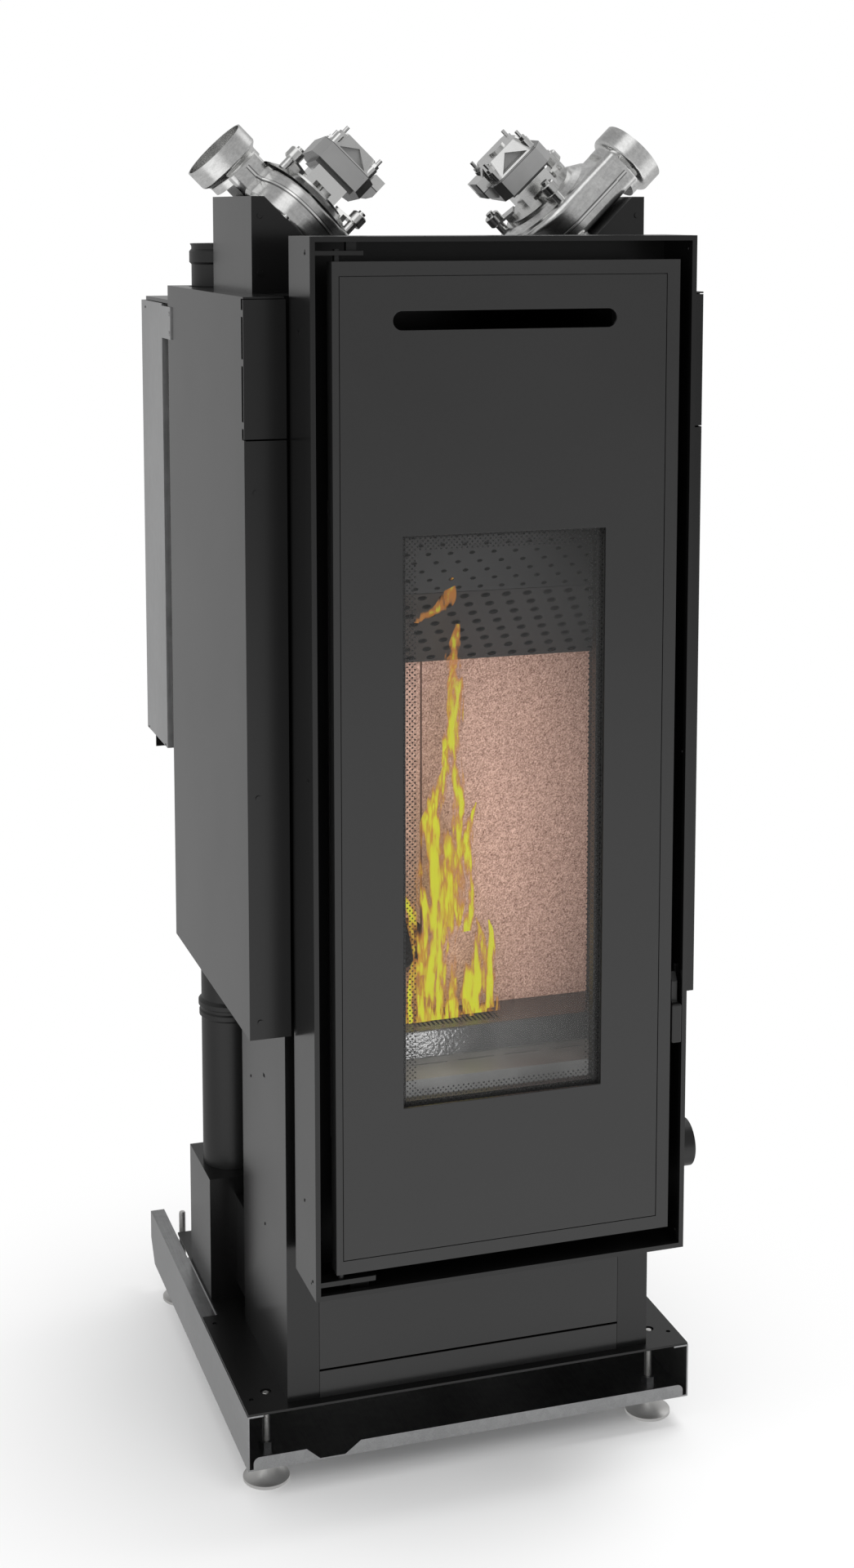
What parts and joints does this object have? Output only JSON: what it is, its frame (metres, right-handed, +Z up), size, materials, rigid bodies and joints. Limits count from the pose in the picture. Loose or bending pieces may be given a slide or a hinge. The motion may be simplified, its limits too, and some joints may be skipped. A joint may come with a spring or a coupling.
{
  "type": "pellet stove",
  "caption": "Tall built-in pellet stove without its cladding: glass door in a deep frame, rear pellet hopper, flue pipe and two warm-air blowers on top.",
  "frame": {"origin": "bottom centre of the bounding box, on the floor", "axes": "+Z up, -Y the side with the glass door, +X to the right seen from the front"},
  "size_m": [0.6058, 0.721, 1.6884],
  "materials": {
    "front_enamel": "satin stove paint",
    "body_black": "satin black paint on sheet",
    "galvanised": "zinc coated sheet",
    "plated_steel": "zinc plated, satin",
    "cast_aluminium": "plain die casting",
    "flue_enamel": "matt heat-proof paint",
    "cast_iron": "raw, sooted",
    "vermiculite": null,
    "ceramic_glass": "clear ceramic glass",
    "rope_seal": "braided glass fibre"
  },
  "bodies": {
    "stove": {"base_tray": "galvanised", "base_plate": "body_black", "rod_nuts": "plated_steel", "body_side_left": "body_black", "body_side_right": "body_black", "body_back": "body_black", "lower_panels": "body_black", "top_plate": "body_black", "front_frame": "front_enamel", "recess_plate": "body_black", "frame_fittings": "plated_steel", "side_cover_left": "body_black", "side_cover_right": "body_black", "hopper_sides": "body_black", "vent_strips": "body_black", "hopper_back": "body_black", "hopper_bin": "body_black", "hopper_funnel": "body_black", "lid_hinge": "plated_steel", "rear_posts": "body_black", "feed_tube": "body_black", "auger_gearmotor": "plated_steel", "firebox_shell": "flue_enamel", "back_boards": "vermiculite", "hearth_plate": "cast_iron", "burner_block": "cast_iron", "ash_pan": "galvanised", "smoke_baffles": "cast_iron", "igniter": "plated_steel", "smoke_channel": "body_black", "smoke_box": "body_black", "smoke_motor": "plated_steel", "flue_pipe": "flue_enamel", "air_intake": "body_black", "warm_air_box_left": "body_black", "warm_air_box_right": "body_black", "blower_shell_left": "cast_aluminium", "blower_shell_right": "cast_aluminium", "blower_bracket_left": "plated_steel", "blower_bracket_right": "plated_steel", "blower_motor_left": "plated_steel", "blower_motor_right": "plated_steel", "control_box": "body_black"},
    "door": {"door_border": "front_enamel", "door_panel": "front_enamel", "door_back": "front_enamel", "glass_frame": "front_enamel", "door_glass": "ceramic_glass", "door_seals": "rope_seal", "door_pins": "plated_steel"},
    "latch": {"door_latch": "plated_steel"},
    "lid": {"hopper_lid": "body_black"},
    "auger": {"auger_screw": "plated_steel"},
    "smoke_wheel": {"smoke_wheel": "plated_steel"},
    "fan_left": {"blower_wheel_left": "plated_steel"},
    "fan_right": {"blower_wheel_right": "plated_steel"},
    "foot_front_left": {"foot_front_left": "plated_steel"},
    "foot_front_right": {"foot_front_right": "plated_steel"},
    "foot_rear_left": {"foot_rear_left": "plated_steel"},
    "foot_rear_right": {"foot_rear_right": "plated_steel"}
  },
  "joints": [
    {"name": "foot_front_left_adjust", "type": "slide", "parent": "stove", "child": "foot_front_left", "axis": [0, 0, 1], "range_m": [-0.02, 0.006]},
    {"name": "foot_front_right_adjust", "type": "slide", "parent": "stove", "child": "foot_front_right", "axis": [0, 0, 1], "range_m": [-0.02, 0.006]},
    {"name": "foot_rear_left_adjust", "type": "slide", "parent": "stove", "child": "foot_rear_left", "axis": [0, 0, 1], "range_m": [-0.02, 0.006]},
    {"name": "foot_rear_right_adjust", "type": "slide", "parent": "stove", "child": "foot_rear_right", "axis": [0, 0, 1], "range_m": [-0.02, 0.006]},
    {"name": "door_swing", "type": "hinge", "parent": "stove", "child": "door", "pos_m": [-0.20813, -0.3495, 0.929], "axis": [0, 0, -1], "range_deg": [0, 110]},
    {"name": "latch_turn", "type": "hinge", "parent": "door", "child": "latch", "pos_m": [0.21787, -0.3415, 0.634], "axis": [-1, 0, 0], "range_deg": [0, 40]},
    {"name": "lid_swing", "type": "hinge", "parent": "stove", "child": "lid", "pos_m": [-0.00513, 0.3355, 1.463], "axis": [-1, 0, 0], "range_deg": [0, 95]},
    {"name": "auger_turn", "type": "hinge", "parent": "stove", "child": "auger", "pos_m": [-0.07313, 0.0915, 0.803], "axis": [0, 1, 0], "continuous": true},
    {"name": "smoke_wheel_turn", "type": "hinge", "parent": "stove", "child": "smoke_wheel", "pos_m": [-0.18913, 0.1185, 0.2], "axis": [1, 0, 0], "continuous": true},
    {"name": "fan_left_turn", "type": "hinge", "parent": "stove", "child": "fan_left", "pos_m": [-0.17205, -0.0545, 1.58448], "axis": [0.7071, 0, 0.7071], "continuous": true},
    {"name": "fan_right_turn", "type": "hinge", "parent": "stove", "child": "fan_right", "pos_m": [0.16178, -0.0545, 1.58448], "axis": [-0.7071, 0, 0.7071], "continuous": true}
  ]
}
